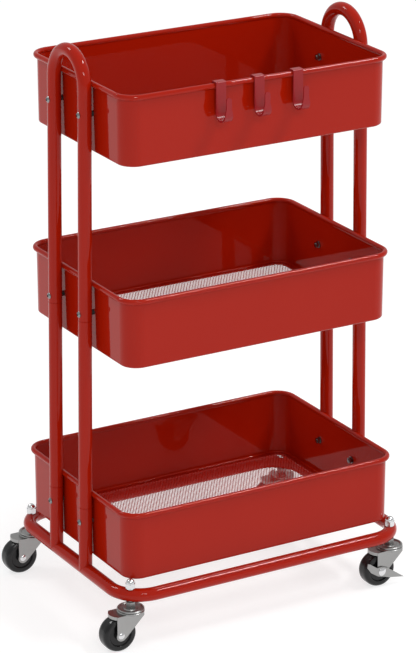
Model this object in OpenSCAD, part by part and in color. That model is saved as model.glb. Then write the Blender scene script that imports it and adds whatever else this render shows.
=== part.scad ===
// Three-tier rolling utility cart: sheet trays with mesh floors, tube end frames, base ring,
// swivel casters and rim hooks. Origin on the floor at the middle of its outer box, with the wheels
// trailing to the left; +X along the long side, -Y is the front, +Z up. Millimetres.

/* [Trays] */
// Outside length of the top tray at its bottom edge
top_len = 408.4; // [390:0.2:409.4]
// Outside depth of the top tray at its bottom edge
top_dep = 268.1; // [240:0.1:280]
// Outside length of the middle tray at its bottom edge
mid_len = 413.6; // [395:0.2:415]
// Outside depth of the middle tray at its bottom edge
mid_dep = 284.1; // [250:0.1:290]
// Outside length of the bottom tray at its bottom edge
low_len = 426.4; // [405:0.2:426.6]
// Outside depth of the bottom tray at its bottom edge
low_dep = 296.9; // [260:0.1:300]
// Height of the top tray's rim above the floor
top_rim = 779.3; // [765:0.1:790]
// Height of the middle tray's rim above the floor
mid_rim = 500.3; // [480:0.1:526]
// Height of the bottom tray's rim above the floor
low_rim = 195; // [192:0.5:200]
// Height of every tray, bottom edge to rim
tray_h = 99; // [92:0.5:102]
// Outside radius of the trays' upright corners
corner_r = 24.5; // [18:0.5:32]
// How far each wall leans out from its bottom edge to its rim
lean_out = 0.5; // [0:0.1:0.6]
// Thickness of the tray sheet
sheet = 1; // [0.8:0.1:1.2]
// Radius of the rolled rim
bead_r = 3.75; // [3:0.05:4]
// Width of the flange that carries the mesh floor
flange_w = 11; // [8:0.5:14]
// Thickness of the mesh floor
mesh_t = 1; // [0.8:0.1:1.2]

/* [End frames] */
// Diameter of all the tubes
tube_d = 19; // [18:0.5:19]
// Wall of the tubes
tube_wall = 1.2; // [1:0.1:1.5]
// Leg axis to the cart's middle at the top tray's rim, along X
leg_top = 216; // [216:0.5:219]
// Leg axis to the cart's middle at the base ring, along X
leg_foot = 225; // [225:0.5:228]
// Leg axis to the cart's middle along Y, and radius of the handle bend
leg_y = 43.5; // [38:0.5:50]
// Height of the middle of the handle bend
bend_z = 767.9; // [762:0.1:780]
// Height of the upper tube joints
joint_hi = 445.3; // [442:0.1:448]
// Height of the lower tube joints
joint_lo = 171.3; // [168:0.1:174]
// Depth of the bevels where two tubes meet
joint_bevel = 0.5; // [0.2:0.1:0.8]
// Length of the reduced neck that plugs one tube into the next
neck_len = 28; // [24:1:34]

/* [Base ring] */
// Length of the base ring, tube middle to tube middle
ring_len = 449; // [446:0.5:452]
// Depth of the base ring, tube middle to tube middle
ring_dep = 323; // [318:0.5:330]
// Bend radius of the base ring's corners
ring_r = 45; // [40:0.5:50]
// Height of the base ring's tube middle
ring_z = 77.3; // [77:0.1:78]

/* [Fasteners] */
// Screws below each tray's rim
screw_drop = 45.2; // [44:0.1:47]
// Diameter of the tray screws
screw_d = 5; // [4:0.5:5]
// Diameter of the tray screws' button heads
head_d = 8.8; // [8:0.1:10]
// Height of the tray screws' button heads
head_h = 2.5; // [2:0.1:3]
// Width across flats of the tray screws' sockets
socket_af = 3.6; // [3:0.1:4]
// Outside diameter of the spacers between tube and tray
spacer_d = 7.5; // [6.5:0.1:9]

/* [Hooks] */
// Width of a hook's strip
hook_w = 15; // [12:0.5:17]
// Thickness of a hook's strip
hook_t = 2; // [1.6:0.1:2.4]
// Width of a hook's tip
tip_w = 8; // [7:0.5:12]
// Width of a hook where its bend turns up into the tip
toe_w = 12; // [10:0.5:15]
// Middle radius of a hook's lower bend
hook_bend = 10.5; // [9:0.5:14]
// Height of the middle of a hook's lower bend
hook_low = 740.6; // [736:0.1:748]
// Height of a hook's tip
tip_z = 764.3; // [756:0.1:768]
// Place of the left hook along the rim
hook_1 = -65; // [-70:1:-60]
// Place of the middle hook along the rim
hook_2 = -6; // [-10:1:0]
// Place of the right hook along the rim
hook_3 = 54; // [50:1:60]

/* [Casters] */
// Diameter of a caster wheel
wheel_d = 50; // [48:0.5:50]
// Width of a caster wheel
wheel_w = 22; // [18:0.5:22.5]
// How far the wheel trails behind the swivel
trail = 21.3; // [18:0.1:23]
// Diameter of the swivel race
race_d = 38.6; // [36:0.2:40]
// Diameter of the threaded stem
stem_d = 8; // [7:0.5:8]
// Thickness of the fork plate
fork_t = 1.6; // [1.4:0.1:2]
// Diameter of the axle
axle_d = 6; // [5:0.5:6.5]

/* [Hidden] */
$fn = 96;
eps = 0.01;
run_gap = 0.05;
clear = 0.3;
tube_r = tube_d / 2;
bore_r = tube_r - tube_wall;
neck_r = bore_r - run_gap;
leg_slope = (leg_foot - leg_top) / (top_rim - ring_z);
leg_lean = atan(leg_slope);
leg_x0 = leg_foot + ring_z * leg_slope;
bead_out = 1.4;
edge_r = 3;
hole_r = screw_d / 2 + run_gap;
nut_flange = 1.2;
nut_h = 4;
nut_af = 8;
bead_z = top_rim - bead_r;
rim_front = top_dep / 2 + lean_out + bead_out;
hook_in = bead_r + 0.35;
stem_x = ring_len / 2 - ring_r * (1 - sqrt(0.5));
stem_y = ring_dep / 2 - ring_r * (1 - sqrt(0.5));
wheel_r = wheel_d / 2;
axle_z = wheel_r;
fork_in = wheel_w / 2 + 1;
fork_out = fork_in + fork_t;
plate_top = 54.2;
plate_low = plate_top - fork_t;
fork_back = 28;
fork_nose = 14;
tongue_r = fork_out + 3.2;
tongue_x = -16.4;
skirt_h = 4.6;
race_r = race_d / 2;
lower_race = 1.6;
race_low = plate_top + lower_race + 0.25;
race_rim = 2.9;
race_dish = 1.3;
nut_seat = race_low + 2.6;
collar_af = 12;
clinch_h = 2;
clinch_z = plate_low - clear - clinch_h;
cap_d = axle_d + 3.8;
cap_h = 2.2;
brake_cap_d = axle_d + 6.2;
brake_gap = 0.8;
brake_t = 1.5;
ring_top = ring_z + tube_r;
ring_low = ring_z - tube_r;
acorn_af = 13;
acorn_h = 7;
washer_d = 12.4;
washer_t = 1.2;
hook_top = top_rim + hook_t + 0.4;
hook_fold = 2.4;
hook_lip = 6;
tip_z0 = hook_low - eps;
head_ball = (head_d * head_d / 4 + head_h * head_h) / (2 * head_h);
reach_left = stem_x + trail + wheel_r;
reach_right = leg_x(low_rim - screw_drop) + tube_r + clear / 4 + head_h;
mid_x = (reach_left - reach_right) / 2;

red = [0.68, 0.07, 0.05];
hook_red = [0.62, 0.12, 0.14];
zinc = [0.72, 0.72, 0.70];
chrome = [0.86, 0.86, 0.88];
black = [0.05, 0.05, 0.06];

// Half the outside length of a tray at a height above its bottom edge
function wall_x(len, up) = len / 2 + lean_out * up / tray_h;
// Leg axis along X at a height above the floor
function leg_x(z) = leg_x0 - z * leg_slope;

// Sweeps a flat outline round a rounded rectangle; the outline's x counts from the corner's middle
module around(len, dep, r) {
  for (turn = [0, 180]) rotate([0, 0, turn]) {
    translate([len / 2 - r, 0, 0]) rotate([90, 0, 0])
      linear_extrude(height = dep - 2 * r, center = true) children();
    translate([0, dep / 2 - r, 0]) rotate([90, 0, 90])
      linear_extrude(height = len - 2 * r, center = true) children();
    translate([len / 2 - r, dep / 2 - r, 0]) rotate_extrude(angle = 90) children();
    translate([r - len / 2, dep / 2 - r, 0]) rotate([0, 0, 90]) rotate_extrude(angle = 90) children();
  }
}

// Flat plate with rounded corners
module plate(len, dep, r, t) {
  linear_extrude(height = t) {
    square([len, dep - 2 * r], center = true);
    square([len - 2 * r, dep], center = true);
    for (x = [-1, 1], y = [-1, 1]) translate([x * (len / 2 - r), y * (dep / 2 - r)]) circle(r = r);
  }
}

// Repeats something at the four screw places of a tray, turned so that its +Z points outward along X
module at_screws(x, z) {
  for (side = [0, 1], y = [-leg_y, leg_y]) mirror([side, 0, 0])
    translate([x, y, z]) rotate([0, 90, 0]) children();
}

// Puts something in the leaning plane of one end frame, its origin under the handle on the floor
module at_end(side) {
  mirror([side < 0 ? 1 : 0, 0, 0]) translate([leg_x0, 0, 0]) rotate([0, -leg_lean, 0]) children();
}

// Section of a tray wall: mesh flange, rounded bottom edge, leaning wall and rolled rim
module wall_section() {
  polygon(concat(
    [[corner_r - flange_w, 0]],
    [for (a = [-90 : 15 : 0]) [corner_r - edge_r + edge_r * cos(a), edge_r + edge_r * sin(a)]],
    [[corner_r + lean_out, tray_h - bead_r]],
    [[corner_r + lean_out - sheet, tray_h - bead_r]],
    [for (a = [0 : -15 : -90])
      [corner_r - edge_r + (edge_r - sheet) * cos(a), edge_r + (edge_r - sheet) * sin(a)]],
    [[corner_r - flange_w, sheet]]
  ));
  translate([corner_r + lean_out + bead_out, tray_h - bead_r]) circle(r = bead_r, $fn = 36);
}

// Room for one handle's legs and bend where they pass a tray's rim
module notches(rim) {
  low = rim - 3 * bead_r;
  for (y = [-leg_y, leg_y]) translate([0, y, low])
    cylinder(r = tube_r + clear, h = min(5 * bead_r, bend_z - low + eps));
  if (rim > bend_z) translate([0, 0, bend_z]) rotate([90, 0, 90]) rotate_extrude(angle = 180, $fn = 40)
    translate([leg_y, 0]) circle(r = tube_r + clear, $fn = 24);
}

// One tray: swept wall, pressed in at the legs where they pass the rim, drilled for its four screws
module tray(len, dep, rim) {
  difference() {
    translate([0, 0, rim - tray_h]) around(len, dep, corner_r) wall_section();
    for (side = [-1, 1]) at_end(side) notches(rim);
    at_screws(len / 2 - 2 * edge_r, rim - screw_drop) cylinder(r = hole_r, h = 4 * edge_r);
  }
}

// One mesh floor, resting on its tray's flange
module mesh_floor(len, dep, rim) {
  translate([0, 0, rim - tray_h + sheet])
    plate(len - 2 * edge_r - 2 * clear, dep - 2 * edge_r - 2 * clear, corner_r - edge_r - clear, mesh_t);
}

// Straight tube of one leg between two heights, in the end frame's plane
module leg_tube(y, z0, z1, r_out, r_in) {
  translate([0, y, z0]) difference() {
    cylinder(r = r_out, h = z1 - z0);
    translate([0, 0, -eps]) cylinder(r = r_in, h = z1 - z0 + 2 * eps);
  }
}

// Groove that bevels the two tube ends meeting at a joint
module joint_groove(y, z) {
  translate([0, y, z]) rotate_extrude() polygon([
    [tube_r - joint_bevel, -eps], [tube_r - joint_bevel, eps], [tube_r + eps, joint_bevel],
    [tube_r + 1, joint_bevel], [tube_r + 1, -joint_bevel], [tube_r + eps, -joint_bevel]
  ]);
}

// Cross holes for the screws of one tray through one pair of legs
module leg_holes(side, z) {
  mirror([side < 0 ? 1 : 0, 0, 0]) for (y = [-leg_y, leg_y])
    translate([leg_x(z) - 2 * tube_r, y, z]) rotate([0, 90, 0]) cylinder(r = hole_r, h = 4 * tube_r);
}

// One handle: a bent tube whose two legs run down past the top and middle trays
module handle(side) {
  difference() {
    at_end(side) {
      translate([0, 0, bend_z]) rotate([90, 0, 90]) rotate_extrude(angle = 180)
        translate([leg_y, 0]) difference() {
          circle(r = tube_r, $fn = 64);
          circle(r = bore_r, $fn = 64);
        }
      for (y = [-leg_y, leg_y]) leg_tube(y, joint_hi, bend_z, tube_r, bore_r);
    }
    at_end(side) for (y = [-leg_y, leg_y]) joint_groove(y, joint_hi);
    leg_holes(side, top_rim - screw_drop);
    leg_holes(side, mid_rim - screw_drop);
  }
}

// One lower tube, with a reduced neck on top that plugs into the handle's leg
module lower_tube(side, front) {
  y = front * leg_y;
  difference() {
    at_end(side) {
      leg_tube(y, joint_lo, joint_hi, tube_r, bore_r);
      leg_tube(y, joint_hi - tube_r, joint_hi + neck_len, neck_r, neck_r - tube_wall);
      leg_tube(y, joint_hi - tube_r, joint_hi - tube_r + 2 * tube_wall, bore_r + eps, neck_r - tube_wall);
    }
    at_end(side) {
      joint_groove(y, joint_hi);
      joint_groove(y, joint_lo);
    }
    leg_holes(side, mid_rim - screw_drop);
  }
}

// One stub tube, coped over the base ring, with a neck that plugs into the lower tube
module stub_tube(side, front) {
  y = front * leg_y;
  difference() {
    at_end(side) {
      leg_tube(y, ring_z, joint_lo, tube_r, bore_r);
      leg_tube(y, joint_lo - 2 * tube_wall, joint_lo + neck_len, neck_r, neck_r - tube_wall);
      leg_tube(y, joint_lo - 4 * tube_wall, joint_lo - 1.9 * tube_wall, bore_r + eps, neck_r - tube_wall);
    }
    translate([side * ring_len / 2, y, ring_z]) rotate([90, 0, 0])
      cylinder(r = tube_r + eps, h = 3 * tube_d, center = true);
    at_end(side) joint_groove(y, joint_lo);
    leg_holes(side, low_rim - screw_drop);
  }
}

// Moves the cart, drawn about its own middle, so that the origin is the middle of its outer box
module placed() {
  translate([mid_x, 0, 0]) children();
}

// Base ring: one tube bent into a rounded rectangle and drilled at its corners for the caster stems
module ring() {
  color(red) difference() {
    translate([0, 0, ring_z]) around(ring_len, ring_dep, ring_r)
      translate([ring_r, 0]) difference() {
        circle(r = tube_r, $fn = 64);
        circle(r = bore_r, $fn = 64);
      }
    for (x = [-1, 1], y = [-1, 1]) translate([x * stem_x, y * stem_y, ring_z - tube_d])
      cylinder(r = stem_d / 2 + clear, h = 2 * tube_d);
  }
}

// Four button-head socket screws of one tray, seated on the tubes' outer faces
module screws(len, rim) {
  z = rim - screw_drop;
  seat = leg_x(z) + tube_r + clear / 4;
  inside = wall_x(len, tray_h - screw_drop) - sheet - nut_flange - nut_h - 1;
  color(chrome) at_screws(inside, z) {
    cylinder(d = screw_d, h = seat - inside + 1, $fn = 32);
    translate([0, 0, seat - inside]) difference() {
      intersection() {
        cylinder(d = head_d, h = head_h, $fn = 48);
        translate([0, 0, head_h - head_ball]) sphere(r = head_ball, $fn = 64);
      }
      translate([0, 0, head_h - socket_af / 2]) cylinder(d = socket_af / cos(30), h = head_h, $fn = 6);
    }
  }
}

// Four spacers of one tray, each between a tube's inner face and the tray wall
module spacers(len, rim) {
  z = rim - screw_drop;
  wall = wall_x(len, tray_h - screw_drop);
  color(black) difference() {
    at_screws(wall + clear / 6, z) difference() {
      cylinder(d = spacer_d, h = leg_x(z) - wall - bore_r, $fn = 48);
      translate([0, 0, -1]) cylinder(r = hole_r, h = tube_d, $fn = 32);
    }
    for (side = [-1, 1], y = [-leg_y, leg_y]) at_end(side)
      translate([0, y, z - tube_d]) cylinder(r = tube_r + eps, h = 2 * tube_d);
  }
}

// Four flange nuts of one tray, against the wall's inner face
module nuts(len, rim) {
  face = wall_x(len, tray_h - screw_drop) - sheet - clear / 3;
  color(chrome) at_screws(face, rim - screw_drop) mirror([0, 0, 1]) difference() {
    union() {
      cylinder(d = nut_af + 2.6, h = nut_flange, $fn = 48);
      cylinder(d = nut_af / cos(30), h = nut_flange + nut_h, $fn = 6);
    }
    translate([0, 0, -eps]) cylinder(r = hole_r, h = nut_flange + nut_h + 1, $fn = 32);
  }
}

// Flat-topped cap of a hook over the rolled rim, in the plane of the bends
module hook_cap(inner, outer) {
  difference() {
    union() {
      translate([-outer, bead_z - hook_lip]) square([2 * outer, hook_top - hook_fold - bead_z + hook_lip]);
      translate([-outer + hook_fold, bead_z]) square([2 * (outer - hook_fold), hook_top - bead_z]);
      for (y = [-1, 1]) translate([y * (outer - hook_fold), hook_top - hook_fold])
        circle(r = hook_fold, $fn = 48);
    }
    translate([-inner, bead_z - hook_lip - eps])
      square([2 * inner, hook_top - hook_t - bead_z + hook_lip + eps]);
  }
}

// Lower half band of a bent strip, in the plane of the bend
module band(r_in, r_out) {
  difference() {
    circle(r = r_out);
    circle(r = r_in);
    translate([-2 * r_out, 0]) square([4 * r_out, 4 * r_out]);
  }
}

// One J hook: lip inside the tray, flat top over the rim, strip down the front, bend and narrow tip
module hook(x) {
  strip_in = hook_in;
  strip_out = hook_in + hook_t;
  low_in = hook_bend - hook_t / 2;
  low_out = hook_bend + hook_t / 2;
  low_mid = strip_in + hook_t / 2 + hook_bend;
  color(hook_red) translate([x, -rim_front, 0]) {
    rotate([90, 0, 90]) linear_extrude(height = hook_w, center = true) {
      hook_cap(strip_in, strip_out);
      translate([-strip_out, hook_low]) square([hook_t, bead_z - hook_low]);
    }
    rotate([90, 0, 90]) linear_extrude(height = hook_w, center = true)
      translate([-low_mid, hook_low]) intersection() {
        band(low_in, low_out);
        translate([-eps, -low_out]) square([low_out + eps, low_out + eps]);
      }
    translate([0, -low_mid, hook_low]) hook_toe(low_in, low_out);
    translate([0, -low_mid - low_in, 0]) rotate([90, 0, 0]) linear_extrude(height = hook_t) {
      polygon([
        [-toe_w / 2, tip_z0], [toe_w / 2, tip_z0], [tip_w / 2, hook_low + 8],
        [tip_w / 2, tip_z - tip_w / 2], [-tip_w / 2, tip_z - tip_w / 2], [-tip_w / 2, hook_low + 8]
      ]);
      translate([0, tip_z - tip_w / 2]) circle(d = tip_w, $fn = 48);
    }
  }
}

// Front quarter of a hook's lower bend, narrowing from the strip's width to the toe's
module hook_toe(r_in, r_out) {
  intersection() {
    rotate([90, 0, 90]) linear_extrude(height = hook_w, center = true)
      intersection() {
        band(r_in, r_out);
        translate([-r_out, -r_out]) square([r_out, r_out + eps]);
      }
    translate([0, 0, -2 * r_out]) linear_extrude(height = 4 * r_out) polygon([
      [-hook_w / 2, eps], [hook_w / 2, eps], [toe_w / 2, -r_in], [toe_w / 2, -r_out - eps],
      [-toe_w / 2, -r_out - eps], [-toe_w / 2, -r_in]
    ]);
  }
}

// Puts something at one caster's swivel axis, on the floor
module at_caster(side, front) {
  translate([side * stem_x, front * stem_y, 0]) children();
}

// Fixed half of a caster: stem with a hexagon collar, dished upper race and the pin's clinched head
module stem() {
  lip_r = race_r - 0.3;
  color(zinc) {
    translate([0, 0, clinch_z]) cylinder(d = stem_d, h = ring_top + acorn_h - clinch_z, $fn = 48);
    translate([0, 0, nut_seat - eps])
      cylinder(d = collar_af / cos(30), h = ring_low - nut_seat - clear, $fn = 6);
    rotate_extrude() polygon([
      [0, race_low], [lip_r - 1.2, race_low], [lip_r, race_low + 1], [lip_r, race_low + race_rim - 1],
      [lip_r - 1, race_low + race_rim], [lip_r - 2.6, race_low + race_rim],
      [lip_r - 4.2, race_low + race_dish], [lip_r - 8.6, race_low + race_dish],
      [lip_r - 9.6, nut_seat], [0, nut_seat]
    ]);
    translate([0, 0, clinch_z]) cylinder(d = stem_d + 6, h = clinch_h, $fn = 48);
  }
}

// Hexagon prism with both ends chamfered
module hexagon(af, h, chamfer) {
  tip_d = af / cos(30);
  intersection() {
    cylinder(d = tip_d, h = h, $fn = 6);
    union() {
      for (up = [0, 1]) translate([0, 0, up * h]) mirror([0, 0, up])
        cylinder(d1 = tip_d - 2 * chamfer, d2 = tip_d + eps, h = chamfer, $fn = 64);
      translate([0, 0, chamfer - eps]) cylinder(d = tip_d + eps, h = h - 2 * chamfer + 2 * eps, $fn = 64);
    }
  }
}

// Acorn nut and its washer, on top of the base ring
module acorn() {
  color(chrome) translate([0, 0, ring_top]) difference() {
    union() {
      cylinder(d = washer_d, h = washer_t, $fn = 64);
      translate([0, 0, washer_t - eps]) hexagon(acorn_af, acorn_h, 0.8);
      translate([0, 0, acorn_h + 1]) sphere(d = acorn_af - 0.6, $fn = 64);
    }
    translate([0, 0, -1]) cylinder(r = stem_d / 2 + run_gap, h = acorn_h + 1.5, $fn = 48);
  }
}

// Side plate outline of the fork, axle end at the bottom
module fork_side() {
  difference() {
    union() {
      polygon([
        [-fork_back, plate_top], [-fork_back, axle_z + 2], [-trail - 6.6, axle_z], [-trail, axle_z],
        [-trail + 6.2, axle_z - 5], [fork_nose, plate_top - 5], [fork_nose, plate_top]
      ]);
      translate([-trail, axle_z]) circle(r = 7.6);
    }
    translate([-trail, axle_z]) circle(r = axle_d / 2 + run_gap);
  }
}

// Rounded rear tongue of the fork's top plate, drawn in by a margin
module tongue(margin) {
  translate([tongue_x, 0]) intersection() {
    circle(r = tongue_r - margin);
    translate([-tongue_r, -fork_out]) square([tongue_r, 2 * fork_out]);
  }
}

// Swivelling fork: lower race, top plate with a rounded, skirted rear tongue, and two side plates
module fork() {
  color(zinc) {
    for (y = [-fork_out, fork_in]) translate([0, y + fork_t, 0]) rotate([90, 0, 0])
      linear_extrude(height = fork_t) fork_side();
    difference() {
      union() {
        translate([0, 0, plate_low]) linear_extrude(height = fork_t) {
          translate([-fork_back, -fork_out]) square([fork_back + fork_nose, 2 * fork_out]);
          tongue(0);
        }
        translate([0, 0, plate_top - skirt_h]) linear_extrude(height = skirt_h - fork_t + eps)
          intersection() {
            difference() {
              tongue(0);
              tongue(fork_t);
            }
            translate([-2 * fork_back, -fork_out]) square([fork_back + eps, 2 * fork_out]);
          }
        rotate_extrude() polygon([
          [0, plate_low], [race_r - 1.8, plate_low], [race_r, plate_top - 0.4],
          [race_r, plate_top + lower_race - 1], [race_r - 1, plate_top + lower_race],
          [0, plate_top + lower_race]
        ]);
      }
      translate([0, 0, plate_low - fork_t]) cylinder(r = stem_d / 2 + run_gap, h = race_low, $fn = 48);
    }
  }
}

// Domed head of an axle rivet, rising along +Z
module rivet_head(d) {
  ball = (d * d / 4 + cap_h * cap_h) / (2 * cap_h);
  intersection() {
    cylinder(d = d, h = cap_h, $fn = 48);
    translate([0, 0, cap_h - ball]) sphere(r = ball, $fn = 64);
  }
}

// Axle rivet with a domed head on each side
module axle() {
  color(chrome) translate([-trail, 0, axle_z]) rotate([90, 0, 0]) {
    cylinder(d = axle_d, h = 2 * fork_out + 1, center = true, $fn = 48);
    for (up = [0, 1]) mirror([0, 0, up]) translate([0, 0, fork_out + run_gap]) rivet_head(cap_d);
  }
}

// Longer axle rivet whose front end also carries the brake lever
module brake_axle() {
  front = fork_out + brake_gap + brake_t + clear;
  color(chrome) translate([-trail, 0, axle_z]) rotate([90, 0, 0]) {
    translate([0, 0, -fork_out - 0.5]) cylinder(d = axle_d, h = fork_out + front + 1, $fn = 48);
    mirror([0, 0, 1]) translate([0, 0, fork_out + run_gap]) rivet_head(cap_d);
    translate([0, 0, front]) rivet_head(brake_cap_d);
  }
}

// Caster wheel: one moulded piece with a crowned tread, dished sides and a hub
module wheel() {
  half = wheel_w / 2;
  bore = axle_d / 2 + run_gap;
  color(black) translate([-trail, 0, axle_z]) rotate([90, 0, 0]) rotate_extrude() polygon([
    [bore, -half - 0.7], [7, -half - 0.7], [7.6, -half + 2.5], [15.5, -half + 2.5], [17, -half + 0.4],
    [19.5, -half], [21.8, -half + 0.3], [23.6, -half + 1.5], [24.6, -half + 3.6], [wheel_r, -half + 6.5],
    [wheel_r, half - 6.5], [24.6, half - 3.6], [23.6, half - 1.5], [21.8, half - 0.3], [19.5, half],
    [17, half - 0.4], [15.5, half - 2.5], [7.6, half - 2.5], [7, half + 0.7], [bore, half + 0.7]
  ]);
}

// Side brake lever on the axle's front end: a rounded arm behind it and a pointed pedal ahead of it
module brake() {
  color(zinc) translate([-trail, -fork_out - brake_gap, axle_z]) rotate([90, 0, 0])
    linear_extrude(height = brake_t) difference() {
    polygon([
      [-24, 17], [-20.5, 15.8], [-9, 7.4], [0, 7.6], [9, 4.2], [20, -3.6], [37, -15.6], [24, -13.4],
      [12, -11.4], [3, -8.4], [-7, -5.8], [-19, 2], [-25, 10.4]
    ]);
    circle(r = axle_d / 2 + run_gap);
  }
}

module top_tray() { placed() color(red) tray(top_len, top_dep, top_rim); }
module middle_tray() { placed() color(red) tray(mid_len, mid_dep, mid_rim); }
module bottom_tray() { placed() color(red) tray(low_len, low_dep, low_rim); }
module top_mesh() { placed() color(red) mesh_floor(top_len, top_dep, top_rim); }
module middle_mesh() { placed() color(red) mesh_floor(mid_len, mid_dep, mid_rim); }
module bottom_mesh() { placed() color(red) mesh_floor(low_len, low_dep, low_rim); }
module left_handle() { placed() color(red) handle(-1); }
module right_handle() { placed() color(red) handle(1); }
module lower_tube_fl() { placed() color(red) lower_tube(-1, -1); }
module lower_tube_fr() { placed() color(red) lower_tube(1, -1); }
module lower_tube_rl() { placed() color(red) lower_tube(-1, 1); }
module lower_tube_rr() { placed() color(red) lower_tube(1, 1); }
module stub_tube_fl() { placed() color(red) stub_tube(-1, -1); }
module stub_tube_fr() { placed() color(red) stub_tube(1, -1); }
module stub_tube_rl() { placed() color(red) stub_tube(-1, 1); }
module stub_tube_rr() { placed() color(red) stub_tube(1, 1); }
module base_ring() { placed() ring(); }
module top_screws() { placed() screws(top_len, top_rim); }
module middle_screws() { placed() screws(mid_len, mid_rim); }
module bottom_screws() { placed() screws(low_len, low_rim); }
module top_spacers() { placed() spacers(top_len, top_rim); }
module middle_spacers() { placed() spacers(mid_len, mid_rim); }
module bottom_spacers() { placed() spacers(low_len, low_rim); }
module top_nuts() { placed() nuts(top_len, top_rim); }
module middle_nuts() { placed() nuts(mid_len, mid_rim); }
module bottom_nuts() { placed() nuts(low_len, low_rim); }
module hook_left() { placed() hook(hook_1); }
module hook_middle() { placed() hook(hook_2); }
module hook_right() { placed() hook(hook_3); }
module stem_fl() { placed() at_caster(-1, -1) stem(); }
module stem_fr() { placed() at_caster(1, -1) stem(); }
module stem_rl() { placed() at_caster(-1, 1) stem(); }
module stem_rr() { placed() at_caster(1, 1) stem(); }
module acorn_fl() { placed() at_caster(-1, -1) acorn(); }
module acorn_fr() { placed() at_caster(1, -1) acorn(); }
module acorn_rl() { placed() at_caster(-1, 1) acorn(); }
module acorn_rr() { placed() at_caster(1, 1) acorn(); }
module fork_fl() { placed() at_caster(-1, -1) fork(); }
module fork_fr() { placed() at_caster(1, -1) fork(); }
module fork_rl() { placed() at_caster(-1, 1) fork(); }
module fork_rr() { placed() at_caster(1, 1) fork(); }
module axle_fl() { placed() at_caster(-1, -1) axle(); }
module axle_fr() { placed() at_caster(1, -1) brake_axle(); }
module axle_rl() { placed() at_caster(-1, 1) axle(); }
module axle_rr() { placed() at_caster(1, 1) brake_axle(); }
module wheel_fl() { placed() at_caster(-1, -1) wheel(); }
module wheel_fr() { placed() at_caster(1, -1) wheel(); }
module wheel_rl() { placed() at_caster(-1, 1) wheel(); }
module wheel_rr() { placed() at_caster(1, 1) wheel(); }
module brake_fr() { placed() at_caster(1, -1) brake(); }
module brake_rr() { placed() at_caster(1, 1) brake(); }

top_tray();
middle_tray();
bottom_tray();
top_mesh();
middle_mesh();
bottom_mesh();
left_handle();
right_handle();
lower_tube_fl();
lower_tube_fr();
lower_tube_rl();
lower_tube_rr();
stub_tube_fl();
stub_tube_fr();
stub_tube_rl();
stub_tube_rr();
base_ring();
top_screws();
middle_screws();
bottom_screws();
top_spacers();
middle_spacers();
bottom_spacers();
top_nuts();
middle_nuts();
bottom_nuts();
hook_left();
hook_middle();
hook_right();
stem_fl();
stem_fr();
stem_rl();
stem_rr();
acorn_fl();
acorn_fr();
acorn_rl();
acorn_rr();
fork_fl();
fork_fr();
fork_rl();
fork_rr();
axle_fl();
axle_fr();
axle_rl();
axle_rr();
wheel_fl();
wheel_fr();
wheel_rl();
wheel_rr();
brake_fr();
brake_rr();
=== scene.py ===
"""Looks of the three-tier utility cart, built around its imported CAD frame."""

import math

import bpy
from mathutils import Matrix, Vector


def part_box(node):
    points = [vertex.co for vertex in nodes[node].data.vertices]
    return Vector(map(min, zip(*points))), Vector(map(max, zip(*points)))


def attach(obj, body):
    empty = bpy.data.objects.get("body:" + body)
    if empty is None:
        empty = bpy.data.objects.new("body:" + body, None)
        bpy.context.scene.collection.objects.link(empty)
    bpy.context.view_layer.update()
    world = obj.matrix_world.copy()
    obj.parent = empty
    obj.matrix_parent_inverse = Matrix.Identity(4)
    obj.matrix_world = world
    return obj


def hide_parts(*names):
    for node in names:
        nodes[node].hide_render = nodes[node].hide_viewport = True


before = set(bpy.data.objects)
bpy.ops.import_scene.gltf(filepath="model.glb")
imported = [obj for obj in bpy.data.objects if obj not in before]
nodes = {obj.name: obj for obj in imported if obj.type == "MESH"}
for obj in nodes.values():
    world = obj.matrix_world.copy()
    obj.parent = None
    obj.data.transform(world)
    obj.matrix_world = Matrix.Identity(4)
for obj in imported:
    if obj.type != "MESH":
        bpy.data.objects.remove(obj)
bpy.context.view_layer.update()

# ---------------------------------------------------------------- studio
# A pale seamless floor under soft white light, with a long lens looking
# down on the cart from the front left.
ring_low, ring_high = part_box("base_ring")
middle_x = (ring_low.x + ring_high.x) / 2
azimuth = math.radians(-30.09)
elevation = math.radians(20.31)
camera_distance = 4.3997
aim_height = 0.3814
aim_shift = 0.0025
camera_lens = 172.8
sensor_width = 36
air_strength = 0.6
floor_size = 40
floor_glow = 0.71

camera_back = Vector(
    (
        math.sin(azimuth) * math.cos(elevation),
        -math.cos(azimuth) * math.cos(elevation),
        math.sin(elevation),
    )
)
camera_side = Vector((math.cos(azimuth), math.sin(azimuth), 0))
look_at = Vector((middle_x, 0, aim_height)) - camera_side * aim_shift
bpy.ops.object.select_all(action="DESELECT")
bpy.ops.object.camera_add(location=look_at + camera_back * camera_distance)
camera = bpy.context.object
camera.rotation_mode = "QUATERNION"
camera.rotation_quaternion = (-camera_back).to_track_quat("-Z", "Y")
camera.data.sensor_width = sensor_width
camera.data.lens = camera_lens
bpy.context.scene.camera = camera

world = bpy.data.worlds.new("studio_air")
world.use_nodes = True
air = world.node_tree.nodes["Background"]
air.inputs["Color"].default_value = (1, 1, 1, 1)
air.inputs["Strength"].default_value = air_strength
bpy.context.scene.world = world
bpy.context.scene.view_settings.view_transform = "Standard"


def softbox(name, place, aim, size, power):
    """One square soft light at a place, turned to an aim point."""
    bpy.ops.object.light_add(type="AREA", location=place)
    lamp = bpy.context.object
    lamp.name = name
    lamp.data.shape = "RECTANGLE"
    lamp.data.size, lamp.data.size_y = size
    lamp.data.energy = power
    lamp.rotation_mode = "QUATERNION"
    lamp.rotation_quaternion = (Vector(aim) - Vector(place)).to_track_quat("-Z", "Y")


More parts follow.
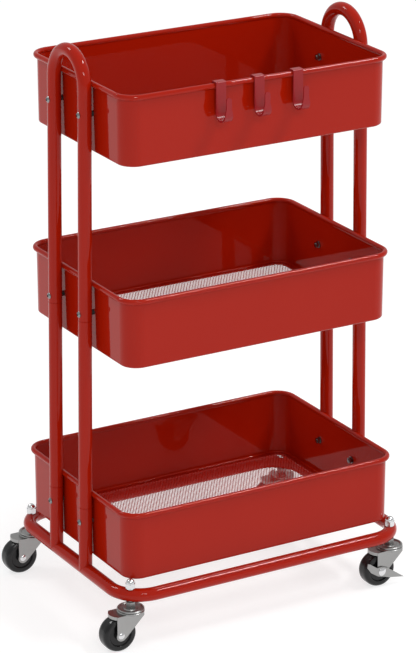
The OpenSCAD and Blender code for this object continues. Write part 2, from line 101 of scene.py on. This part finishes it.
softbox("key_box", (2.35, -1.5, 4.4), (0, 0, 0.3), (1.7, 0.5), 98)
softbox("front_box", (-1.0, -3.6, 3.2), (0, 0, 0.4), (1.1, 0.6), 36)
softbox("rear_box", (-1.6, 2.4, 3.6), (0, 0, 0.3), (0.9, 0.9), 30)

bpy.ops.object.select_all(action="DESELECT")
bpy.ops.mesh.primitive_plane_add(size=floor_size, location=(0, 0, 0))
studio_floor = bpy.context.object
studio_floor.name = "studio_floor"
paper = bpy.data.materials.new("backdrop_paper")
paper.use_nodes = True
paper_shader = paper.node_tree.nodes["Principled BSDF"]
paper_shader.inputs["Roughness"].default_value = 0.9
paper_shader.inputs["Specular IOR Level"].default_value = 0.1
paper_place = paper.node_tree.nodes.new("ShaderNodeTexCoord")
paper_grain = paper.node_tree.nodes.new("ShaderNodeTexNoise")
paper_grain.inputs["Scale"].default_value = 3
paper_tone = paper.node_tree.nodes.new("ShaderNodeMix")
paper_tone.data_type = "RGBA"
paper_tone.inputs["A"].default_value = (0.35, 0.35, 0.35, 1)
paper_tone.inputs["B"].default_value = (0.37, 0.37, 0.37, 1)
paper_shader.inputs["Emission Color"].default_value = (1, 1, 1, 1)
paper_shader.inputs["Emission Strength"].default_value = floor_glow
paper.node_tree.links.new(paper_place.outputs["Object"], paper_grain.inputs["Vector"])
paper.node_tree.links.new(paper_grain.outputs["Fac"], paper_tone.inputs["Factor"])
paper.node_tree.links.new(paper_tone.outputs["Result"], paper_shader.inputs["Base Color"])
studio_floor.data.materials.append(paper)


# ---------------------------------------------------------------- trays
# Three welded sheet-steel trays with rolled rims, in glossy red enamel.
# The enamel is baked powder, very smooth, with a faint orange peel.
def node_group(name, inputs, outputs):
    """Empty shader node group with float inputs and outputs, and its two ends."""
    group = bpy.data.node_groups.new(name, "ShaderNodeTree")
    for label, value in inputs.items():
        socket = group.interface.new_socket(label, in_out="INPUT", socket_type="NodeSocketFloat")
        socket.default_value = value
    for label in outputs:
        group.interface.new_socket(label, in_out="OUTPUT", socket_type="NodeSocketFloat")
    return group, group.nodes.new("NodeGroupInput"), group.nodes.new("NodeGroupOutput")


skin, skin_in, skin_out = node_group(
    "surface_skin",
    {"Grain Size": 300.0, "Patch Size": 12.0},
    ("Grain", "Patches"),
)
skin_place = skin.nodes.new("ShaderNodeTexCoord")
for size_name, out_name, detail in (("Grain Size", "Grain", 2.0), ("Patch Size", "Patches", 5.0)):
    skin_noise = skin.nodes.new("ShaderNodeTexNoise")
    skin_noise.inputs["Detail"].default_value = detail
    skin.links.new(skin_place.outputs["Object"], skin_noise.inputs["Vector"])
    skin.links.new(skin_in.outputs[size_name], skin_noise.inputs["Scale"])
    skin.links.new(skin_noise.outputs["Fac"], skin_out.inputs[out_name])


def finish(name, dark, light, rough, metal=0.0, gloss=0.5, peel=0.02, grain=300, patch=12):
    """Material whose colour and roughness drift in patches, with a fine grain in its normal."""
    material = bpy.data.materials.new(name)
    material.use_nodes = True
    tree = material.node_tree
    shader = tree.nodes["Principled BSDF"]
    shader.inputs["Metallic"].default_value = metal
    shader.inputs["Specular IOR Level"].default_value = gloss
    surface = tree.nodes.new("ShaderNodeGroup")
    surface.node_tree = skin
    surface.inputs["Grain Size"].default_value = grain
    surface.inputs["Patch Size"].default_value = patch
    tone = tree.nodes.new("ShaderNodeMix")
    tone.data_type = "RGBA"
    tone.inputs["A"].default_value = (*dark, 1)
    tone.inputs["B"].default_value = (*light, 1)
    wear = tree.nodes.new("ShaderNodeMapRange")
    wear.inputs["To Min"].default_value = rough[0]
    wear.inputs["To Max"].default_value = rough[1]
    bump = tree.nodes.new("ShaderNodeBump")
    bump.inputs["Strength"].default_value = peel
    bump.inputs["Distance"].default_value = 0.001
    tree.links.new(surface.outputs["Patches"], tone.inputs["Factor"])
    tree.links.new(surface.outputs["Patches"], wear.inputs["Value"])
    tree.links.new(surface.outputs["Grain"], bump.inputs["Height"])
    tree.links.new(tone.outputs["Result"], shader.inputs["Base Color"])
    tree.links.new(wear.outputs["Result"], shader.inputs["Roughness"])
    tree.links.new(bump.outputs["Normal"], shader.inputs["Normal"])
    return material


def wear_finish(material, *names):
    """Puts a material on CAD nodes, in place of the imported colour."""
    for name in names:
        nodes[name].data.materials.clear()
        nodes[name].data.materials.append(material)


red_enamel = finish(
    "red_enamel",
    (0.338, 0.008, 0.001),
    (0.358, 0.0105, 0.0015),
    (0.003, 0.009),
    gloss=0.19,
    peel=0.001,
)
tiers = ("top", "middle", "bottom")
wear_finish(red_enamel, *(f"{tier}_tray" for tier in tiers))

# ---------------------------------------------------------------- mesh floors
# Expanded steel mesh laid on each tray's flange: leaning strands with
# diamond openings about 4.7 by 7.1 mm, dipped in the same enamel.
strand_side = 0.00334
strand_half = 0.00032
strand_deep = 0.0006
stretch = 1.5
corner_cut = 0.0213
diamond_turn = math.radians(45)
corner_turns = [math.radians(turn) for turn in (22.5, 45, 67.5)]


def select_all_mesh():
    """Selects every part of the mesh being edited."""
    bpy.ops.mesh.select_all(action="SELECT")


def cut_away(place, outward):
    """Cuts off what lies beyond a plane."""
    select_all_mesh()
    bpy.ops.mesh.bisect(
        plane_co=place, plane_no=outward, clear_outer=True, clear_inner=False, use_fill=False
    )


def mesh_floor(tier):
    """Expanded mesh over the whole of one tray's floor, with rounded corners."""
    low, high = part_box(f"{tier}_mesh")
    centre = (low + high) / 2
    half_x, half_y = (high.x - low.x) / 2, (high.y - low.y) / 2
    reach = (half_x + half_y / stretch) * math.sqrt(2) + 2 * strand_side
    count = math.ceil(reach / strand_side)
    pivot = (centre.x, centre.y, high.z - strand_deep)
    bpy.ops.object.select_all(action="DESELECT")
    bpy.ops.mesh.primitive_grid_add(
        x_subdivisions=count,
        y_subdivisions=count,
        size=count * strand_side,
        location=pivot,
    )
    piece = bpy.context.object
    piece.name = f"{tier}_mesh_strands"
    bpy.ops.object.mode_set(mode="EDIT")
    select_all_mesh()
    bpy.ops.mesh.inset(thickness=strand_half, depth=0, use_individual=True)
    bpy.ops.mesh.delete(type="FACE")
    select_all_mesh()
    bpy.ops.transform.rotate(value=diamond_turn, orient_axis="Z", center_override=pivot)
    bpy.ops.transform.resize(value=(1, stretch, 1), center_override=pivot)
    for side in (-1, 1):
        cut_away((centre.x + side * half_x, 0, 0), (side, 0, 0))
        cut_away((0, centre.y + side * half_y, 0), (0, side, 0))
    for side_x in (-1, 1):
        for side_y in (-1, 1):
            hub = Vector(
                (
                    centre.x + side_x * (half_x - corner_cut),
                    centre.y + side_y * (half_y - corner_cut),
                    0,
                )
            )
            for turn in corner_turns:
                lean = Vector((side_x * math.cos(turn), side_y * math.sin(turn), 0))
                cut_away(hub + lean * corner_cut, lean)
    bpy.ops.object.mode_set(mode="OBJECT")
    bpy.ops.object.transform_apply(location=True, rotation=True, scale=True)
    bpy.ops.object.modifier_add(type="SOLIDIFY")
    piece.modifiers[-1].thickness = strand_deep
    piece.modifiers[-1].offset = 1
    bpy.ops.object.modifier_apply(modifier=piece.modifiers[-1].name)
    piece.data.materials.append(mesh_enamel)
    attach(piece, "frame")
    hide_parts(f"{tier}_mesh")


mesh_enamel = finish(
    "mesh_enamel", (0.33, 0.006, 0.002), (0.38, 0.009, 0.003), (0.12, 0.2), gloss=0.3, peel=0.01
)
for tier in tiers:
    mesh_floor(tier)

# ---------------------------------------------------------------- end frames and base ring
# Bent 19 mm tube in the same enamel: two handles, four lower tubes and
# four stubs welded on the ring that carries the casters.
corners = ("fl", "fr", "rl", "rr")
wear_finish(
    red_enamel,
    "left_handle",
    "right_handle",
    "base_ring",
    *(f"lower_tube_{c}" for c in corners),
    *(f"stub_tube_{c}" for c in corners),
)

# ---------------------------------------------------------------- tray screws
# Plated button-head screws through each tube and tray wall, with flange
# nuts inside and black plastic spacers in the gap.
plating = finish(
    "bright_plating", (0.62, 0.62, 0.63), (0.78, 0.78, 0.79), (0.10, 0.22), metal=1.0, peel=0.01
)
screw_plating = finish(
    "screw_plating", (0.20, 0.21, 0.21), (0.30, 0.31, 0.31), (0.08, 0.16), metal=1.0, peel=0.01
)
spacer_plastic = finish(
    "spacer_plastic", (0.012, 0.012, 0.012), (0.02, 0.02, 0.02), (0.45, 0.6), peel=0.05
)
wear_finish(screw_plating, *(f"{tier}_{kind}" for tier in tiers for kind in ("screws", "nuts")))
wear_finish(spacer_plastic, *(f"{tier}_spacers" for tier in tiers))

# ---------------------------------------------------------------- hooks
# Bent flat strip, hung over the front rim; a softer, rosier enamel.
hook_enamel = finish(
    "hook_enamel", (0.27, 0.010, 0.012), (0.30, 0.014, 0.017), (0.18, 0.28), gloss=0.26, peel=0.015
)
wear_finish(hook_enamel, "hook_left", "hook_middle", "hook_right")

# ---------------------------------------------------------------- casters
# Zinc-plated pressed forks and races, acorn nuts on the stems, and
# moulded black wheels on rivets.
zinc = finish(
    "zinc_plate",
    (0.30, 0.30, 0.295),
    (0.38, 0.38, 0.375),
    (0.25, 0.4),
    metal=1.0,
    peel=0.03,
    patch=40,
)
wheel_plastic = finish(
    "wheel_plastic",
    (0.004, 0.004, 0.0045),
    (0.009, 0.009, 0.0095),
    (0.16, 0.28),
    gloss=0.35,
    peel=0.02,
)
wear_finish(
    zinc,
    *(f"{part}_{c}" for c in corners for part in ("stem", "fork")),
    "brake_fr",
    "brake_rr",
)
wear_finish(plating, *(f"{part}_{c}" for c in corners for part in ("acorn", "axle")))
wear_finish(wheel_plastic, *(f"wheel_{c}" for c in corners))
